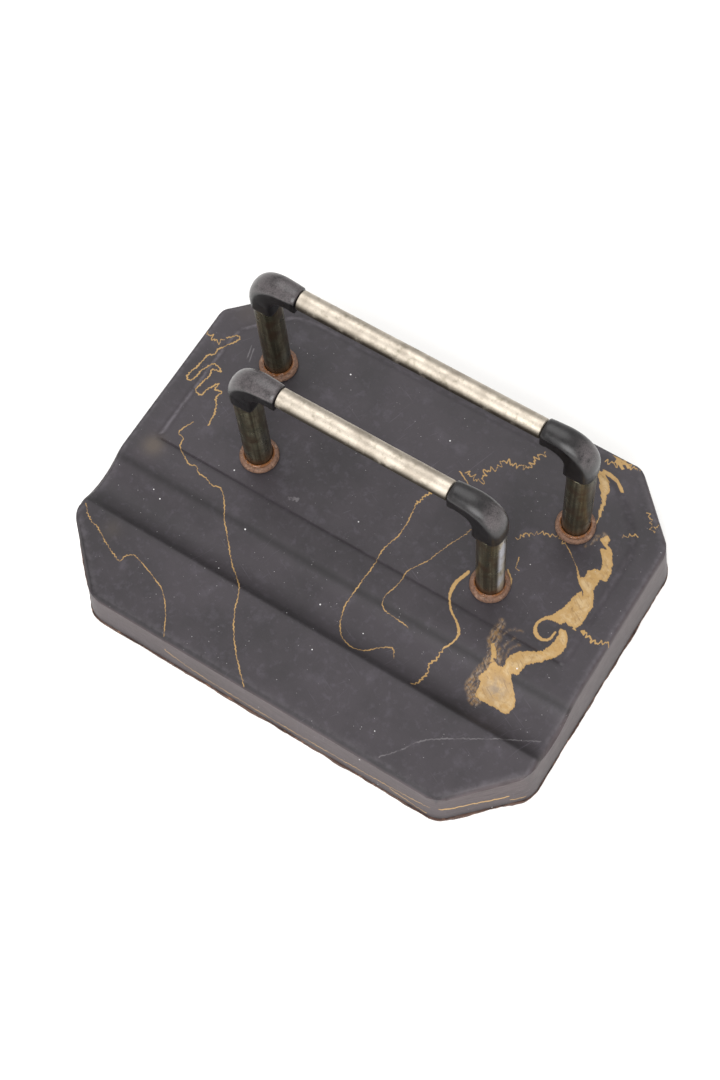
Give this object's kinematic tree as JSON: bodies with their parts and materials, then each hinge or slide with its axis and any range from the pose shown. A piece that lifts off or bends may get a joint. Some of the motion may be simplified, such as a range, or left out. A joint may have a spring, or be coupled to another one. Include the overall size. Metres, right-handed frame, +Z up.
{
  "type": "desk blotter stand",
  "caption": "Free-standing desk stand with clipped corners, a pen groove along its front and two parallel rails on posts that hold blotting paper or letters upright.",
  "frame": {"origin": "middle of the footprint, on the surface that the stand rests on", "axes": "+X along the pen groove and the rails, -Y towards the front edge with the groove, +Z up"},
  "size_m": [0.174, 0.131, 0.0808],
  "materials": {
    "marbled_rubber": "matt dark grey hard rubber with ochre marbling",
    "fibre_board": "raw brown fibreboard with a rough edge",
    "rusty_steel": "rusted steel",
    "tarnished_nickel": "tarnished nickel plate",
    "satin_metal": "worn satin",
    "black_phenolic": "black moulding, worn to a soft gloss",
    "brass_bush": "turned",
    "plain_steel": "plain"
  },
  "bodies": {
    "root": {"base_body": "marbled_rubber", "bottom_board": "fibre_board", "rail_front": "satin_metal", "rail_rear": "satin_metal", "collar_front_left": "rusty_steel", "collar_front_right": "rusty_steel", "collar_rear_left": "rusty_steel", "collar_rear_right": "rusty_steel", "post_front_left": "tarnished_nickel", "post_front_right": "tarnished_nickel", "post_rear_left": "tarnished_nickel", "post_rear_right": "tarnished_nickel", "elbow_front_left": "black_phenolic", "elbow_front_right": "black_phenolic", "elbow_rear_left": "black_phenolic", "elbow_rear_right": "black_phenolic", "bush_front_left": "brass_bush", "bush_front_right": "brass_bush", "bush_rear_left": "brass_bush", "bush_rear_right": "brass_bush", "stud_front_left": "plain_steel", "stud_front_right": "plain_steel", "stud_rear_left": "plain_steel", "stud_rear_right": "plain_steel", "washer_front_left": "plain_steel", "washer_front_right": "plain_steel", "washer_rear_left": "plain_steel", "washer_rear_right": "plain_steel", "nut_front_left": "plain_steel", "nut_front_right": "plain_steel", "nut_rear_left": "plain_steel", "nut_rear_right": "plain_steel"}
  },
  "joints": []
}
